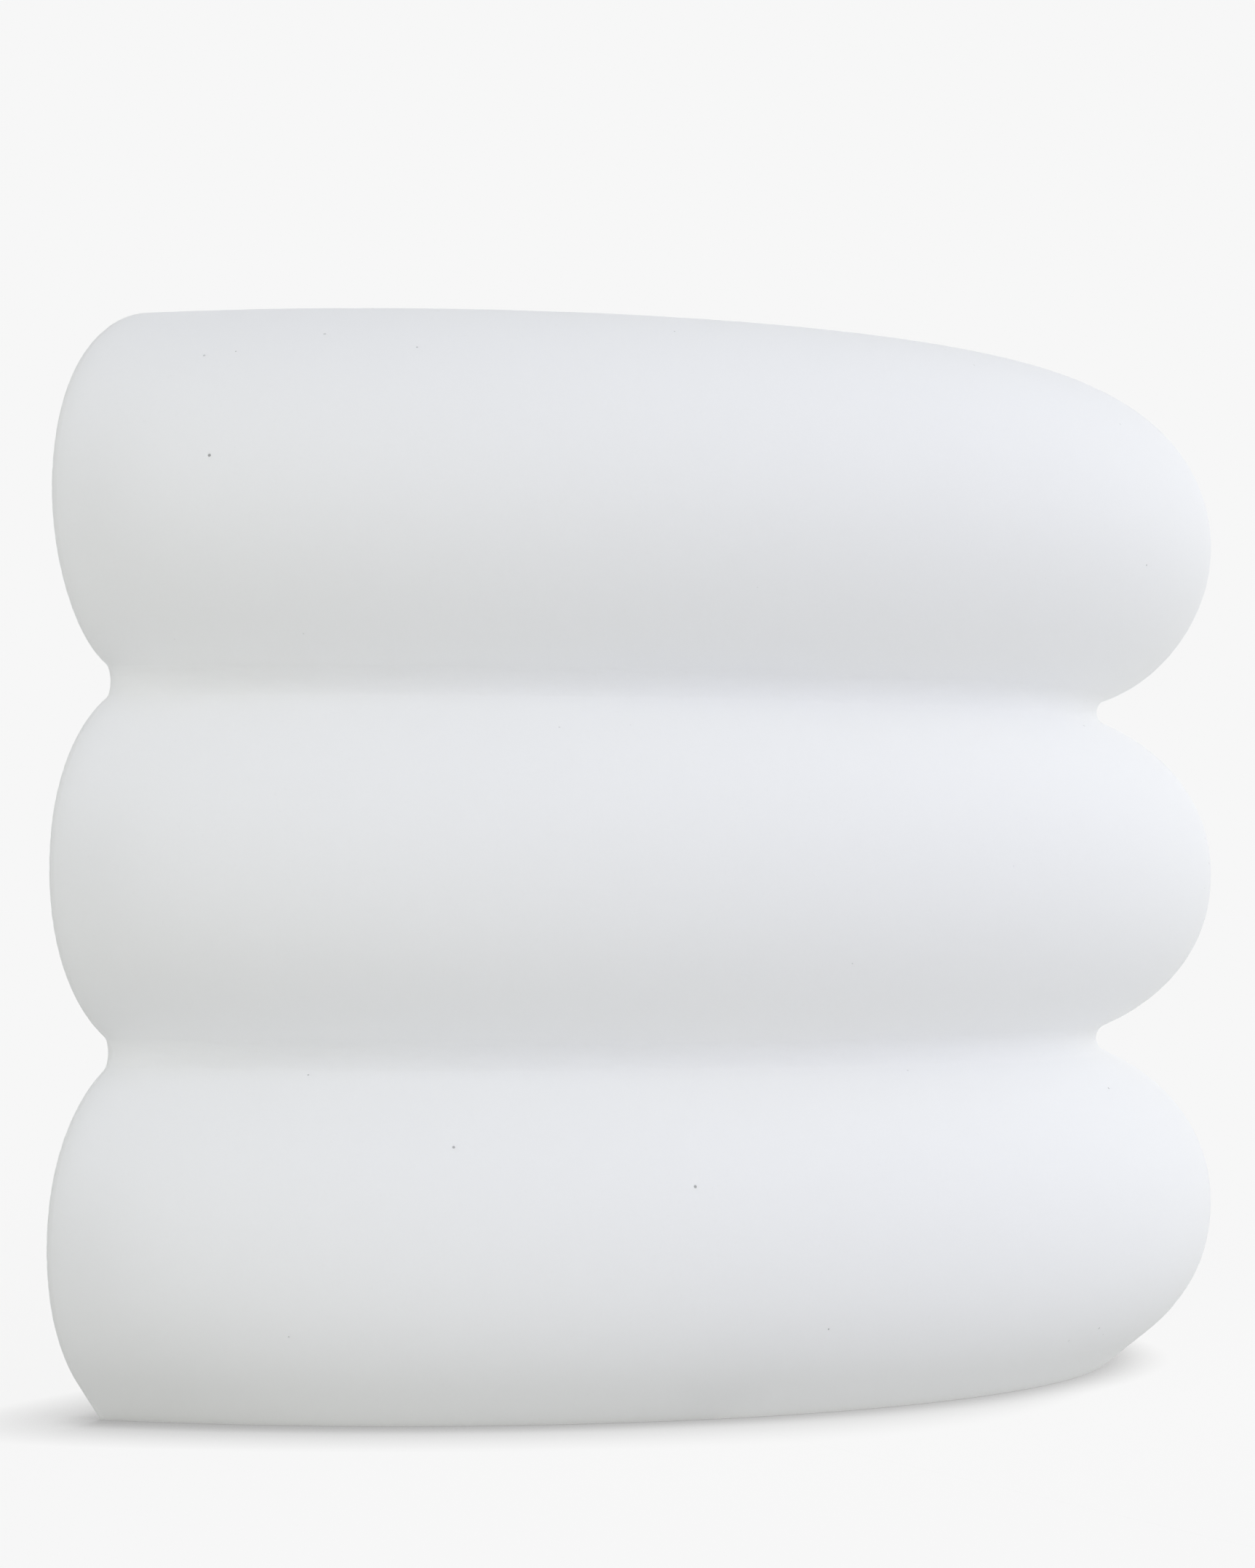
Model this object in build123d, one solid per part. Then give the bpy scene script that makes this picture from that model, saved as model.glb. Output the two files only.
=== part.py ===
"""Two-part plaster slip-casting mold for a three-rolled planter, with a lift-out foot plug.

The mold axis is +Z and the base stands on Z = 0.  The parting plane is Y = 0.
half_a fills Y < 0.  half_b is drawn back along +Y, so the mold stands open.
"""
from build123d import *
import math
import os

# ------------------------------------------------------------------ outer form
roll_count = 3
roll_pitch = 67.0          # height from the middle of one roll to the next
ring_radius = 119.9        # mold axis to the middle of a roll's section
roll_reach = 45.7          # middle of a roll's section to its nose
roll_overlap = 1.9         # how far one roll runs into the next
roll_fullness = 2.12       # superellipse power: 2 is an ellipse, more is boxier
valley_round = 3.0         # rounding in the valley between two rolls
base_cut = 3.4             # how much of the lowest roll the base plane takes off
foot_slope = 39.0          # degrees above the bench at which the lowest roll runs straight to it
arris_round = 1.5          # softened outer edge of the parting faces
section_points = 9         # points that each roll's outline is drawn through

# ------------------------------------------------------------------ cavity
wall_at_roll = 34.0        # plaster behind the nose of a roll
wall_at_valley = 26.0      # plaster behind a valley
floor_thickness = 26.0     # plaster under the cavity
roof_thickness = 26.0      # plaster between the pot's rim and the crown
heel_round = 8.0           # lower outside corner of the cast pot
shoulder_round = 6.0       # upper outside corner of the cast pot
pour_radius = 82.0         # pour opening at the pot's rim
pour_flare = 18.0          # degrees that the pour opening widens upwards
lip_round = 4.0            # softened edge between crown and pour opening

# ------------------------------------------------------------------ foot plug
plug_radius = 59.0         # top of the flange, where it meets the cavity floor
plug_draft = 2.0           # how much narrower the flange is at its underside
stem_radius = 38.0         # part below the flange, which reaches the bench
ledge_height = 13.0        # flange underside above the bench
foot_boss_radius = 50.0    # raised middle that forms the pot's hollow foot
foot_boss_height = 4.0
boss_round = 3.0           # rounded top edge of the boss
stem_round = 1.5           # softened lower edge of the stem
seat_clearance = 0.3       # round the plug, in its seat

# ------------------------------------------------------------------ natches
natch_radius = 8.0         # body of a two-part plastic key set in the plaster
cup_depth = 9.0            # length of the female body
knob_body_depth = 5.0      # length of the male body
knob_radius = 5.5          # male knob where it leaves the plaster
knob_tip_radius = 3.8
knob_height = 5.0
knob_round = 1.2
knob_clearance = 0.3       # round the knob, in its cup
pocket_clearance = 0.1     # round a natch, in its plaster pocket
plug_natch_radius = 6.0    # the plug's natches are a size smaller
plug_knob_radius = 3.8
plug_knob_tip_radius = 2.6
plug_natch_angles = (-150, -90, -30)

# ------------------------------------------------------------------ open mold
opening_gap = 200.0        # parting face of half_a to that of half_b
cut_margin = 1.0           # how far a cutting shape runs past the face it cuts

# ------------------------------------------------------------------ worked out
half_height = roll_pitch / 2 + roll_overlap
first_roll_z = half_height - base_cut
roll_heights = [first_roll_z + i * roll_pitch for i in range(roll_count)]
nose_radius = ring_radius + roll_reach
crown_z = roll_heights[-1] + half_height
rim_z = crown_z - roof_thickness
natch_ring = nose_radius - wall_at_roll / 2
plug_natch_ring = (plug_radius - plug_draft + stem_radius) / 2
LEVELS = ["low", "middle", "high"] + [f"top_{i}" for i in range(4, roll_count + 1)]


# ------------------------------------------------------------------ roll section
def roll_point(angle):
    """Point of a roll's section in this direction (radians), from the section's middle."""
    across = abs(math.cos(angle) / roll_reach) ** roll_fullness
    up = abs(math.sin(angle) / half_height) ** roll_fullness
    length = (across + up) ** (-1 / roll_fullness)
    return length * math.cos(angle), length * math.sin(angle)


def roll_normal(angle):
    """Outward unit normal of the section there, for the outer half of a roll."""
    r, z = roll_point(angle)
    nr = abs(r / roll_reach) ** (roll_fullness - 1) / roll_reach
    nz = math.copysign(abs(z / half_height) ** (roll_fullness - 1) / half_height, z)
    size = math.hypot(nr, nz)
    return nr / size, nz / size


def underside_slope(angle):
    """How steeply the outline leaves the bench there, in degrees."""
    nr, nz = roll_normal(angle)
    return math.degrees(math.atan2(nr, -nz))


def find_angle(too_low, low, high):
    """Halve the range until the angle where too_low turns false is found."""
    for _ in range(60):
        middle = (low + high) / 2
        if too_low(middle):
            low = middle
        else:
            high = middle
    return low


def reaches_valley(angle):
    """Height of the valley rounding's middle, when it touches the roll at this angle."""
    return roll_point(angle)[1] + valley_round * roll_normal(angle)[1]


valley_angle = find_angle(lambda a: reaches_valley(a) < roll_pitch / 2, 0.2, math.pi / 2)
foot_angle = find_angle(lambda a: underside_slope(a) < foot_slope, -math.pi / 2, -0.2)
crown_end_angle = math.radians(150)
valley_bottom = (ring_radius + roll_point(valley_angle)[0]
                 + valley_round * roll_normal(valley_angle)[0] - valley_round)


def roll_curve(middle_z, start, end):
    """One roll's outline from start to end angle."""
    step = (end - start) / (section_points - 1)
    places = []
    for i in range(section_points):
        r, z = roll_point(start + i * step)
        places.append((ring_radius + r, middle_z + z))
    return Spline(*places)


def valley_curve(curve_below, curve_above, valley_z):
    """Small rounding that joins two rolls."""
    return ThreePointArc(curve_below @ 1, (valley_bottom, valley_z), curve_above @ 0)


def outer_section():
    """Everything inside the rolled outline, from the mold axis outwards."""
    starts = [foot_angle] + [-valley_angle] * (roll_count - 1)
    ends = [valley_angle] * (roll_count - 1) + [crown_end_angle]
    rolls = [roll_curve(z, start, end) for z, start, end in zip(roll_heights, starts, ends)]
    outline = list(rolls)
    for below, above, z in zip(rolls, rolls[1:], roll_heights):
        outline.append(valley_curve(below, above, z + roll_pitch / 2))
    foot_top = rolls[0] @ 0
    foot_radius = foot_top.X - foot_top.Y / math.tan(math.radians(foot_slope))
    inner_top = rolls[-1] @ 1
    outline.append(Polyline(inner_top, (0, inner_top.Y), (0, 0), (foot_radius, 0), foot_top))
    return make_face(outline)


# ------------------------------------------------------------------ cavity section
def pot_section():
    """The cast pot's outside: arcs that follow the rolls, cut flat at foot and rim."""
    bulge = nose_radius - wall_at_roll
    ridge = valley_bottom - wall_at_valley
    between = (bulge + ridge) / 2
    quarter = roll_pitch / 4
    outline = []
    for z in roll_heights:
        outline.append(ThreePointArc((between, z - quarter), (bulge, z), (between, z + quarter)))
    for z in roll_heights[:-1]:
        start = (between, z + quarter)
        outline.append(ThreePointArc(start, (ridge, z + 2 * quarter), (between, z + 3 * quarter)))
    low = roll_heights[0] - quarter
    high = roll_heights[-1] + quarter
    outline.append(Polyline((between, high), (0, high), (0, low), (between, low)))
    height = rim_z - floor_thickness
    slice_middle = (nose_radius / 2, floor_thickness + height / 2)
    pot = make_face(outline) & Pos(*slice_middle) * Rectangle(nose_radius, height)
    shoulder = pot.vertices().group_by(Axis.Y)[-1].sort_by(Axis.X)[-1]
    pot = fillet(shoulder, shoulder_round)
    heel = pot.vertices().group_by(Axis.Y)[0].sort_by(Axis.X)[-1]
    return fillet(heel, heel_round)


def pour_section():
    """Pour opening, which widens from the pot's rim up through the crown."""
    top = crown_z + cut_margin
    widest = pour_radius + (top - rim_z) * math.tan(math.radians(pour_flare))
    return make_face(Polyline((0, rim_z), (pour_radius, rim_z), (widest, top), (0, top), close=True))


def plug_outline(grow, low, high):
    """Stepped plug outline between two heights, made larger all round by grow."""
    slope = plug_draft / (floor_thickness - ledge_height)
    flange_low = plug_radius - plug_draft + grow
    flange_high = flange_low + slope * (high - ledge_height)
    return make_face(Polyline((0, low), (stem_radius + grow, low), (stem_radius + grow, ledge_height),
                              (flange_low, ledge_height), (flange_high, high), (0, high), close=True))


# ------------------------------------------------------------------ natches
def natch_body(radius, depth):
    """Plain round body that sinks into -Z from its face at Z = 0."""
    return Pos(0, 0, -depth) * Cylinder(radius, depth, align=(Align.CENTER, Align.CENTER, Align.MIN))


def natch_knob(body_radius, root_radius, tip_radius):
    """Male natch: body below Z = 0, tapered knob with a rounded tip above."""
    knob = Cone(root_radius, tip_radius, knob_height, align=(Align.CENTER, Align.CENTER, Align.MIN))
    knob = fillet(knob.edges().sort_by(Axis.Z)[-1], knob_round)
    return natch_body(body_radius, knob_body_depth) + knob


def natch_cup(body_radius, root_radius, tip_radius):
    """Female natch: body below Z = 0 with a tapered socket that takes the knob."""
    depth = knob_height + knob_clearance
    socket = Cone(tip_radius + knob_clearance, root_radius + knob_clearance, depth,
                  align=(Align.CENTER, Align.CENTER, Align.MIN))
    return natch_body(body_radius, cup_depth) - Pos(0, 0, -depth) * socket


def parting_places(faces_y):
    """Name and place of each natch on a parting face, with its +Z turned along faces_y."""
    places = {}
    for side, sign in (("left", -1), ("right", 1)):
        for level, z in zip(LEVELS, roll_heights):
            plane = Plane(origin=(sign * natch_ring, 0, z), x_dir=(1, 0, 0), z_dir=(0, faces_y, 0))
            places[f"{side}_{level}"] = plane
    return places


def ledge_places():
    """Name and place of each natch between the plug and half_a's ledge, facing up."""
    places = {}
    for number, angle in enumerate(plug_natch_angles, start=1):
        x = plug_natch_ring * math.cos(math.radians(angle))
        y = plug_natch_ring * math.sin(math.radians(angle))
        places[f"{number}"] = Pos(x, y, ledge_height)
    return places


# ------------------------------------------------------------------ mold pieces
def half_shell():
    """Plaster half on the Y > 0 side of the parting plane, before its natch pockets."""
    section = outer_section() - pot_section() - pour_section()
    section -= plug_outline(seat_clearance, -cut_margin, floor_thickness + cut_margin)
    shell = revolve(Plane.XZ * section, Axis.Z, 180)
    if shell.center().Y < 0:
        shell = mirror(shell, about=Plane.XZ)
    lip = shell.edges().filter_by(lambda e: e.geom_type == GeomType.CIRCLE and e.center().Z > rim_z)
    shell = fillet(lip.sort_by(Axis.Z)[-1], lip_round)
    face = shell.faces().filter_by(Axis.Y).group_by(Axis.Y)[0]
    rim = face.edges().filter_by(lambda e: abs(e.center().X) > valley_bottom)
    return fillet(rim, arris_round)


def make_half_a(shell):
    """Half with the cups: six in its parting face and three in the plug's ledge."""
    half = mirror(shell, about=Plane.XZ)
    for place in parting_places(1).values():
        half -= place * natch_body(natch_radius + pocket_clearance, cup_depth)
    for place in ledge_places().values():
        half -= place * natch_body(plug_natch_radius + pocket_clearance, cup_depth)
    return half


def make_half_b(shell):
    """Half with the knobs, still at the closed place."""
    half = shell
    for place in parting_places(-1).values():
        half -= place * natch_body(natch_radius + pocket_clearance, knob_body_depth)
    return half


def make_foot_plug():
    """Stepped plug that stands on the bench and closes the middle of the cavity floor."""
    boss = Pos(0, 0, floor_thickness) * Cylinder(
        foot_boss_radius, foot_boss_height, align=(Align.CENTER, Align.CENTER, Align.MIN))
    boss = fillet(boss.edges().sort_by(Axis.Z)[-1], boss_round)
    plug = revolve(Plane.XZ * plug_outline(0, 0, floor_thickness), Axis.Z, 360) + boss
    plug = fillet(plug.edges().filter_by(GeomType.CIRCLE).sort_by(Axis.Z)[0], stem_round)
    for place in ledge_places().values():
        pocket = natch_body(plug_natch_radius + pocket_clearance, knob_body_depth)
        plug -= place * Rot(180, 0, 0) * pocket
    return plug


def build_pieces():
    """Every piece of the mold at its place, by node name."""
    shell = half_shell()
    open_place = Pos(0, opening_gap, 0)
    pieces = {
        "half_a": make_half_a(shell),
        "half_b": open_place * make_half_b(shell),
        "foot_plug": make_foot_plug(),
    }
    cup = natch_cup(natch_radius, knob_radius, knob_tip_radius)
    knob = natch_knob(natch_radius, knob_radius, knob_tip_radius)
    for name, place in parting_places(1).items():
        pieces[f"cup_{name}"] = place * cup
    for name, place in parting_places(-1).items():
        pieces[f"knob_{name}"] = open_place * (place * knob)
    cup = natch_cup(plug_natch_radius, plug_knob_radius, plug_knob_tip_radius)
    knob = natch_knob(plug_natch_radius, plug_knob_radius, plug_knob_tip_radius)
    for name, place in ledge_places().items():
        pieces[f"plug_cup_{name}"] = place * cup
        pieces[f"plug_knob_{name}"] = place * Rot(180, 0, 0) * knob
    return pieces


os.makedirs("parts", exist_ok=True)
for node, piece in build_pieces().items():
    piece.label = node
    export_step(piece, f"parts/{node}.step")
    print(node, round(piece.volume / 1000, 1), "cm3")
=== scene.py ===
"""Open two-part plaster mold on a pale floor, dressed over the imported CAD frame."""
import math

import bpy
from mathutils import Matrix, Vector


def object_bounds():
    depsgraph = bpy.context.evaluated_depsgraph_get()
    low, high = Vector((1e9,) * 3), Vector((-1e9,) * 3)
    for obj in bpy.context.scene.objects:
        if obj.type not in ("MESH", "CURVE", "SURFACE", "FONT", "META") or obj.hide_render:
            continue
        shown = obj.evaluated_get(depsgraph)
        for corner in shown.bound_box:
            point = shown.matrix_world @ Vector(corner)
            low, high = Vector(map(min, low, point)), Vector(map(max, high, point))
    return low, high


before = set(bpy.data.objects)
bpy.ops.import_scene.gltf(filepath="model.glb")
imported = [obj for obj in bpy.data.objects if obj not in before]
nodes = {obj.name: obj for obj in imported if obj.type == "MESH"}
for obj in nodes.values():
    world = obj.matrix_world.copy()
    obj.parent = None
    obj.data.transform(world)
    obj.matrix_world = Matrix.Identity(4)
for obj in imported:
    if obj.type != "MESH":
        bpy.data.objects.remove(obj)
cad_box = [list(corner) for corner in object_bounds()]

# ------------------------------------------------------------------ view
camera_distance = 0.964                  # mold axis to the lens
camera_height = 0.0931                   # lens above the floor
camera_azimuth = math.radians(-67.16)    # 0 looks along +Y
aim_right = 0.0465                       # radians that the lens points right of the axis
aim_up = 0.0256                          # radians that it points above level
camera_roll = -0.0036
focal_pixels = 6325.0
image_height = 2156
sensor_size = 36.0                       # millimetres, along the taller side

# ------------------------------------------------------------------ light
backdrop = 0.93                          # brightness that the camera sees floor and surround at
surround_light = (0.515, 0.528, 0.554)   # even light from all round
sun_softness = math.radians(60.0)        # angle that each soft lamp fills
sun_elevation = 12.0                     # degrees above the floor
sun_reach = 0.0774                       # white floor's brightness for each unit of a lamp's strength
suns = {                                 # degrees right of the camera, strength by colour
    "left_fill": (-40.0, (0.607, 0.609, 0.487)),
    "key": (40.0, (0.961, 0.975, 1.137)),
    "right_rim": (120.0, (1.013, 1.033, 0.963)),
}

# ------------------------------------------------------------------ floor
floor_reach = 30.0                       # metres from the middle to each side
floor_drop = 0.0001                      # how far it lies under the mold's foot
floor_bounce = (0.20, 0.20, 0.20)        # how much of the light it gets goes back to the mold
floor_glow = (0.401, 0.405, 0.389)       # light that it sends up by itself
dim_corner = (-0.175, 0.060, 0.0)        # beside half_a's near arris: here it glows least
dim_reach = 0.12                         # metres from there at which it glows fully
dim_least = 0.62                         # share of its glow left there
shadow_share = 0.08                      # share of its seen brightness that cast shadows can take
# painted shadow: the contact shadow and the seam's dark line below darken the floor's own glow where
# the mold is near
shadow_corner = (-0.190, -0.050, 0.0)    # before the mold's left: contact shadow widest near here
shadow_spread = (0.10, 0.20)             # metres from there over which it narrows
contact_reach = 0.027                    # its width there
contact_reach_far = 0.008                # its width elsewhere
contact_floor = 0.48                     # brightness left where it is deepest
contact_dark = 0.28                      # openness at which it is deepest
contact_fade = 0.6                       # power that it lightens with; below 1 it lightens early
contact_turn = 88.0                      # degrees right of the camera that the shadow falls from
contact_lean = 45.0                      # degrees above the floor
seam_reach = 0.008                       # width of the thin dark line in the seam itself
seam_floor = 0.74                        # brightness left in it
seam_fade = (0.2, 0.9)                   # openness from its darkest to its end

# ------------------------------------------------------------------ plaster
cool_white = (0.938, 0.943, 0.950)
warm_white = (0.948, 0.947, 0.938)
smudge_grey = (0.90, 0.90, 0.905)
dust_grey = (0.905, 0.905, 0.900)
# painted shade: the grey that the inside of each pinhole is coloured, standing in for the shade that
# falls in the hole
pinhole_shade_grey = (0.30, 0.30, 0.30)
pinhole_spacing = 0.0095                 # metres between pinholes in the solid
small_pinhole = 0.00022                  # radius of most of them
large_pinhole = 0.00042                  # radius of the few widest
pinhole_depth = 0.0003
grain_depth = 0.00002
ripple_depth = 0.00006
light_depth = 0.014                      # how far light spreads under the surface


# ------------------------------------------------------------------ node helpers
def new_material(name):
    """Empty node material with its Principled shader."""
    material = bpy.data.materials.new(name)
    material.use_nodes = True
    tree = material.node_tree
    shader = tree.nodes["Principled BSDF"]
    return material, tree, shader


def add(tree, kind, **inputs):
    """New node with these input values; underscores in a name stand for spaces."""
    node = tree.nodes.new(kind)
    for name, value in inputs.items():
        node.inputs[name.replace("_", " ")].default_value = value
    return node


def object_point(tree):
    """Position in the row frame, which stays with the body as it moves."""
    return tree.nodes.new("ShaderNodeTexCoord").outputs["Object"]


def noise(tree, scale, detail=3.0, roughness=0.5):
    """Value of a soft noise; scale is in cycles for each metre."""
    node = add(tree, "ShaderNodeTexNoise", Scale=scale, Detail=detail, Roughness=roughness)
    tree.links.new(object_point(tree), node.inputs["Vector"])
    return node.outputs["Fac"]


def remap(tree, value, low, high, new_low, new_high, smooth=True):
    """Value moved from one range to another, clamped."""
    node = tree.nodes.new("ShaderNodeMapRange")
    node.interpolation_type = "SMOOTHSTEP" if smooth else "LINEAR"
    limits = {"From Min": low, "From Max": high, "To Min": new_low, "To Max": new_high}
    for name, number in limits.items():
        node.inputs[name].default_value = number
    tree.links.new(value, node.inputs["Value"])
    return node.outputs["Result"]


def mix_colours(tree, factor, first, second):
    """Colour between two colours or sockets."""
    node = tree.nodes.new("ShaderNodeMix")
    node.data_type = "RGBA"
    tree.links.new(factor, node.inputs["Factor"])
    for socket, value in ((node.inputs[6], first), (node.inputs[7], second)):
        if isinstance(value, tuple):
            socket.default_value = (*value, 1.0)
        else:
            tree.links.new(value, socket)
    return node.outputs[2]


def combine(tree, operation, first, second):
    """Sum, product and so on of a socket and a socket or number."""
    node = tree.nodes.new("ShaderNodeMath")
    node.operation = operation
    tree.links.new(first, node.inputs[0])
    if isinstance(second, (int, float)):
        node.inputs[1].default_value = second
    else:
        tree.links.new(second, node.inputs[1])
    return node.outputs[0]


def add_bump(tree, shader, height):
    """Relief of this height, in metres, on the shader's surface."""
    bump = add(tree, "ShaderNodeBump", Strength=1.0, Distance=1.0)
    tree.links.new(height, bump.inputs["Height"])
    tree.links.new(bump.outputs["Normal"], shader.inputs["Normal"])


# ------------------------------------------------------------------ materials
def plaster_material():
    """Dry cast gypsum: cool white, faintly clouded and smudged, fine-grained, with pinholes whose inner
    shade is painted into the colour.
    """
    material, tree, shader = new_material("cast_plaster")
    clouds = noise(tree, 9.0, 3.0, 0.55)
    grain = noise(tree, 1200.0, 2.0, 0.6)
    ripple = noise(tree, 60.0, 1.0, 0.5)
    colour = mix_colours(tree, remap(tree, clouds, 0.35, 0.65, 0.0, 1.0), cool_white, warm_white)
    colour = mix_colours(tree, remap(tree, clouds, 0.66, 0.74, 0.0, 0.6), colour, smudge_grey)
    colour = mix_colours(tree, remap(tree, grain, 0.60, 0.80, 0.0, 0.35), colour, dust_grey)

    # Pinholes: one in each cell of the solid, each with its own width and depth, and with the shade
    # inside it painted into the colour at its own darkness.
    cells = add(tree, "ShaderNodeTexVoronoi", Scale=1.0 / pinhole_spacing)
    tree.links.new(object_point(tree), cells.inputs["Vector"])
    chance = tree.nodes.new("ShaderNodeSeparateColor")
    tree.links.new(cells.outputs["Color"], chance.inputs[0])
    width = remap(tree, chance.outputs[0], 0.5, 1.0, small_pinhole / pinhole_spacing,
                  large_pinhole / pinhole_spacing, smooth=False)
    painted_shade_and_depth = remap(tree, chance.outputs[1], 0.3, 1.0, 0.25, 0.95, smooth=False)
    from_middle = combine(tree, "DIVIDE", cells.outputs["Distance"], width)
    holes_and_painted_shade = combine(tree, "MULTIPLY", remap(tree, from_middle, 0.5, 1.0, 1.0, 0.0), painted_shade_and_depth)
    # Painted shade: the inside of each pinhole is darkened in the colour where its own shade would
    # fall; the sunken relief below is real.
    colour = mix_colours(tree, holes_and_painted_shade, colour, pinhole_shade_grey)
    tree.links.new(colour, shader.inputs["Base Color"])

    height = combine(tree, "MULTIPLY", grain, grain_depth)
    height = combine(tree, "ADD", height, combine(tree, "MULTIPLY", ripple, ripple_depth))
    height = combine(tree, "SUBTRACT", height, combine(tree, "MULTIPLY", holes_and_painted_shade, pinhole_depth))
    add_bump(tree, shader, height)
    tree.links.new(remap(tree, grain, 0.3, 0.7, 0.82, 0.95), shader.inputs["Roughness"])
    shader.inputs["IOR"].default_value = 1.45
    shader.inputs["Subsurface Weight"].default_value = 1.0
    shader.inputs["Subsurface Radius"].default_value = (1.0, 1.0, 1.0)
    shader.inputs["Subsurface Scale"].default_value = light_depth
    return material


def plastic_material(name, colour, scuffed):
    """Moulded natch plastic: satin, with a fine mould texture and dusting of plaster."""
    material, tree, shader = new_material(name)
    dust = noise(tree, 260.0, 4.0, 0.6)
    blend = mix_colours(tree, remap(tree, dust, 0.5, 0.75, 0.0, 0.6), colour, scuffed)
    tree.links.new(blend, shader.inputs["Base Color"])
    texture = noise(tree, 2500.0, 2.0, 0.5)
    add_bump(tree, shader, combine(tree, "MULTIPLY", texture, grain_depth))
    tree.links.new(remap(tree, dust, 0.4, 0.7, 0.35, 0.6), shader.inputs["Roughness"])
    return material


def open_floor_light(channel):
    """Brightness of a white floor out in the open, in this colour channel."""
    return surround_light[channel] + sun_reach * sum(colour[channel] for _, colour in suns.values())


def toward(turn, rise):
    """Unit direction this many degrees right of the camera and above the floor."""
    around = camera_azimuth + math.radians(turn)
    rise = math.radians(rise)
    level = math.cos(rise)
    return Vector((math.sin(around) * level, -math.cos(around) * level, math.sin(rise)))


def openness(tree, reach, facing):
    """0 where the floor touches the mold, 1 beyond this reach; facing is the side that counts."""
    node = tree.nodes.new("ShaderNodeAmbientOcclusion")
    node.samples = 6
    if isinstance(reach, float):
        node.inputs["Distance"].default_value = reach
    else:
        tree.links.new(reach, node.inputs["Distance"])
    side = add(tree, "ShaderNodeCombineXYZ", X=facing.x, Y=facing.y, Z=facing.z)
    tree.links.new(side.outputs[0], node.inputs["Normal"])
    return node.outputs["AO"]


def distance_from(tree, spot):
    """Metres from this point of the world."""
    node = tree.nodes.new("ShaderNodeVectorMath")
    node.operation = "DISTANCE"
    tree.links.new(tree.nodes.new("ShaderNodeNewGeometry").outputs["Position"], node.inputs[0])
    node.inputs[1].default_value = spot
    return node.outputs["Value"]


def lit_and_glowing(tree, albedo, colour, strength=None):
    """Diffuse surface that also sends out light of its own."""
    diffuse = add(tree, "ShaderNodeBsdfDiffuse", Color=(*albedo, 1.0))
    glow = add(tree, "ShaderNodeEmission", Color=(*colour, 1.0))
    if strength is not None:
        tree.links.new(strength, glow.inputs["Strength"])
    both = tree.nodes.new("ShaderNodeAddShader")
    tree.links.new(diffuse.outputs[0], both.inputs[0])
    tree.links.new(glow.outputs[0], both.inputs[1])
    return both.outputs[0]


def seen_directly(tree):
    """1 where the camera sees this, also in a reflection or through glass, 0 for other light."""
    light_path = tree.nodes.new("ShaderNodeLightPath")
    camera, glossy, through = (light_path.outputs[f"Is {kind} Ray"]
                               for kind in ("Camera", "Glossy", "Transmission"))
    return combine(tree, "MAXIMUM", combine(tree, "MAXIMUM", camera, glossy), through)


def show(tree, for_other_light, as_seen, output):
    """Send one shader to the camera and another to all other light."""
    choice = tree.nodes.new("ShaderNodeMixShader")
    tree.links.new(seen_directly(tree), choice.inputs["Fac"])
    tree.links.new(for_other_light, choice.inputs[1])
    tree.links.new(as_seen, choice.inputs[2])
    tree.links.new(choice.outputs[0], tree.nodes[output].inputs["Surface"])


def floor_material():
    """Pale floor that runs into the surround as the camera sees it; it takes a small share of real cast
    shadow, and its contact shadow and seam line are painted into its glow by how near the mold is.
    """
    material, tree, shader = new_material("pale_floor")
    tree.nodes.remove(shader)
    lit = [shadow_share * backdrop / open_floor_light(channel) for channel in range(3)]
    level = (1.0 - shadow_share) * backdrop
    away = toward(contact_turn, contact_lean)
    # Painted shadow: the contact shadow and the seam's dark line scale the floor's glow by how near the
    # mold is.
    width = remap(tree, distance_from(tree, shadow_corner), *shadow_spread,
                  contact_reach, contact_reach_far)
    contact = remap(tree, openness(tree, width, away), contact_dark, 1.0, 0.0, 1.0, smooth=False)
    contact = combine(tree, "POWER", contact, contact_fade)
    contact = remap(tree, contact, 0.0, 1.0, contact_floor, 1.0, smooth=False)
    seam = remap(tree, openness(tree, seam_reach, away), *seam_fade, seam_floor, 1.0, smooth=False)
    shaded = combine(tree, "MULTIPLY", contact, seam)
    shown = lit_and_glowing(tree, lit, (level, level, level), shaded)
    dimmed = remap(tree, distance_from(tree, dim_corner), 0.0, dim_reach, dim_least, 1.0)
    bounce = lit_and_glowing(tree, floor_bounce, floor_glow, dimmed)
    show(tree, bounce, shown, "Material Output")
    return material


# ------------------------------------------------------------------ mold
def dress_nodes():
    """Give every CAD piece its finish."""
    plaster = plaster_material()
    female = plastic_material("natch_cup_plastic", (0.72, 0.70, 0.62), (0.82, 0.81, 0.78))
    male = plastic_material("natch_knob_plastic", (0.74, 0.72, 0.64), (0.82, 0.81, 0.78))
    for name, node in nodes.items():
        finish = plaster
        if "cup" in name:
            finish = female
        if "knob" in name:
            finish = male
        node.data.materials.clear()
        node.data.materials.append(finish)


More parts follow.
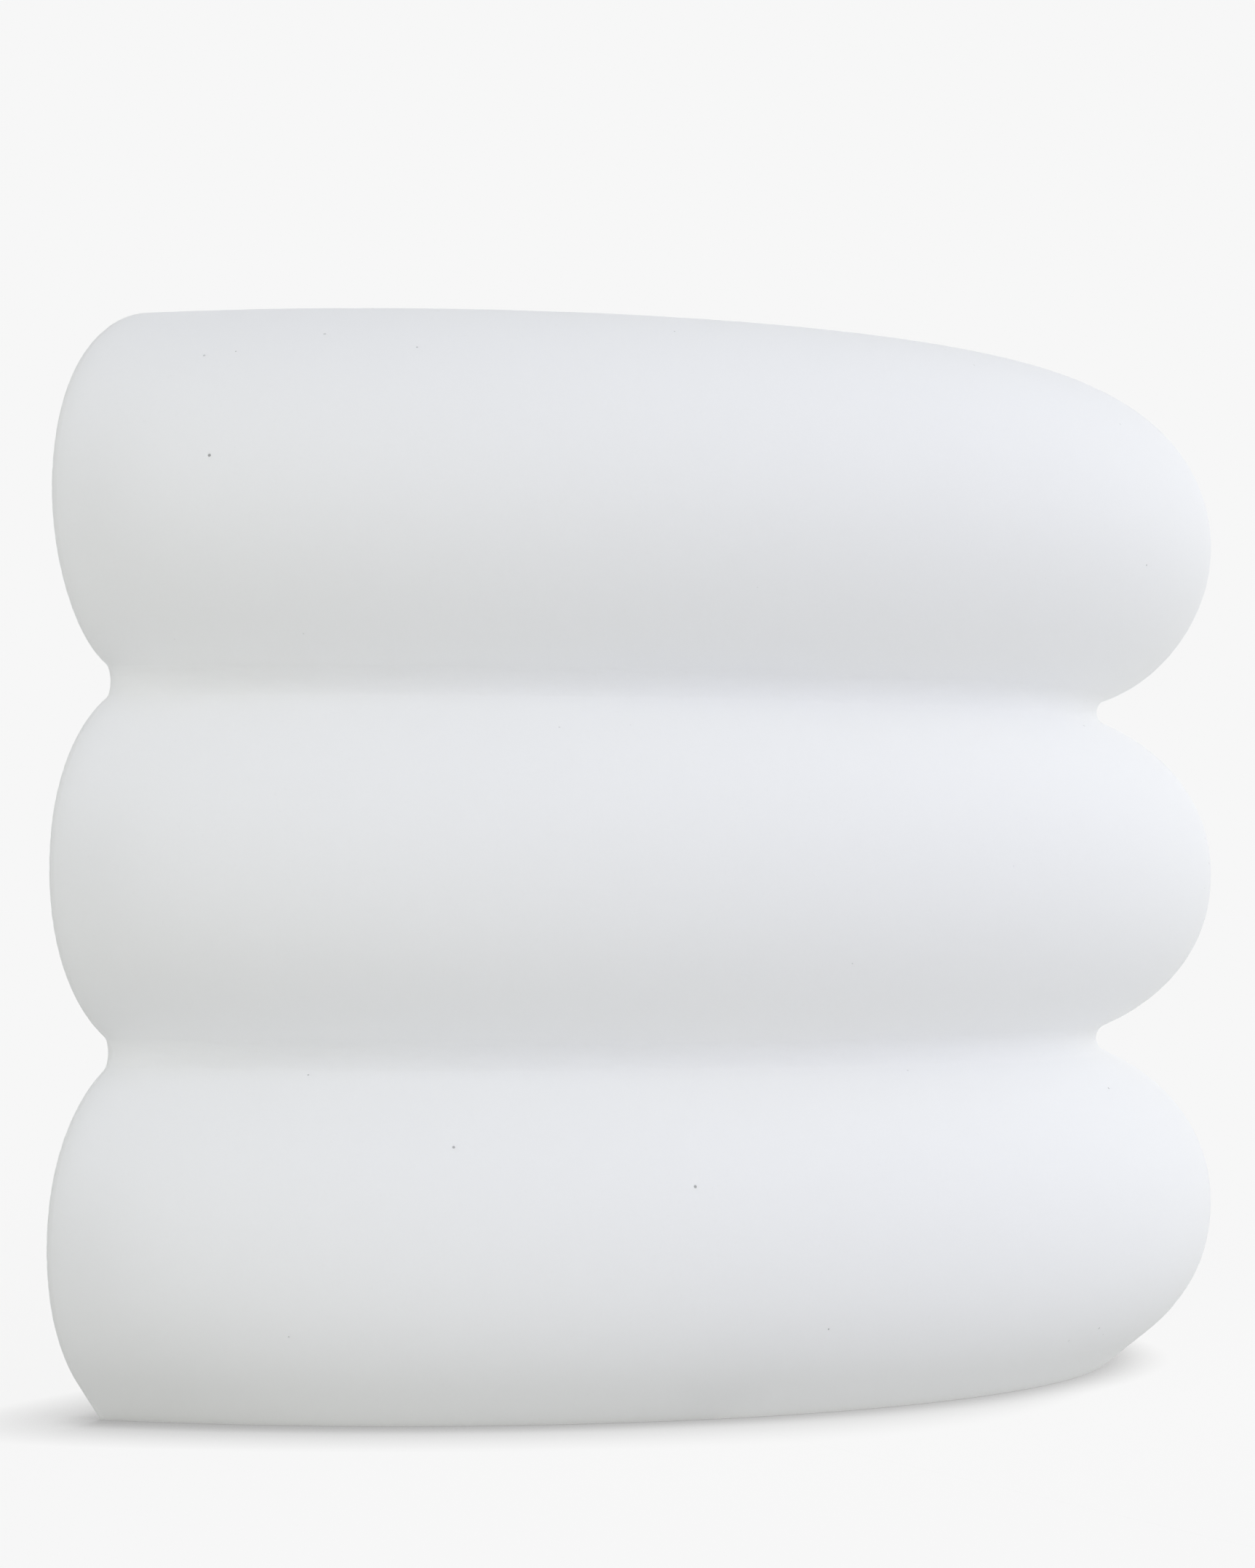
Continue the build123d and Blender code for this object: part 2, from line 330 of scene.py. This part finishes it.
# ------------------------------------------------------------------ stage
def make_floor():
    """Wide plain floor at the foot of the mold."""
    mesh = bpy.data.meshes.new("floor")
    corners = [(x * floor_reach, y * floor_reach, 0.0) for x, y in ((-1, -1), (1, -1), (1, 1), (-1, 1))]
    mesh.from_pydata(corners, [], [(0, 1, 2, 3)])
    floor = bpy.data.objects.new("floor", mesh)
    floor.location.z = cad_box[0][2] - floor_drop
    bpy.context.scene.collection.objects.link(floor)
    mesh.materials.append(floor_material())


def make_world():
    """Even studio surround, near white where the camera sees it."""
    world = bpy.data.worlds.new("studio")
    bpy.context.scene.world = world
    world.use_nodes = True
    tree = world.node_tree
    surround = tree.nodes["Background"]
    surround.inputs["Color"].default_value = (*surround_light, 1.0)
    seen = add(tree, "ShaderNodeBackground", Color=(backdrop, backdrop, backdrop, 1.0))
    show(tree, surround.outputs[0], seen.outputs[0], "World Output")


def make_sun(name, turn, colour):
    """Large soft far-off lamp, turned this many degrees to the right of the camera."""
    lamp = bpy.data.lights.new(name, "SUN")
    lamp.angle = sun_softness
    lamp.energy = 1.0
    lamp.color = colour
    holder = bpy.data.objects.new(name, lamp)
    holder.rotation_euler = toward(turn, sun_elevation).to_track_quat("Z", "Y").to_euler()
    bpy.context.scene.collection.objects.link(holder)


def make_camera():
    """Camera at the photographed view: level with the mold, turned to its outer side."""
    toward_lens = toward(0.0, 0.0)
    up = Vector((0.0, 0.0, 1.0))
    right = (-toward_lens).cross(up)
    level = math.cos(aim_right) * -toward_lens + math.sin(aim_right) * right
    forward = math.cos(aim_up) * level + math.sin(aim_up) * up
    camera_right = forward.cross(up).normalized()
    camera_up = camera_right.cross(forward)
    turn = Matrix((camera_right, camera_up, -forward)).transposed()
    turn = turn @ Matrix.Rotation(-camera_roll, 3, "Z")
    data = bpy.data.cameras.new("photo_view")
    data.sensor_width = sensor_size
    data.lens = sensor_size * focal_pixels / image_height
    camera = bpy.data.objects.new("photo_view", data)
    place = camera_distance * toward_lens + camera_height * up
    camera.matrix_world = Matrix.Translation(place) @ turn.to_4x4()
    bpy.context.scene.collection.objects.link(camera)
    bpy.context.scene.camera = camera


dress_nodes()
make_floor()
make_world()
for sun_name, (sun_turn, sun_colour) in suns.items():
    make_sun(sun_name, sun_turn, sun_colour)
make_camera()
bpy.context.scene.view_settings.view_transform = "Standard"
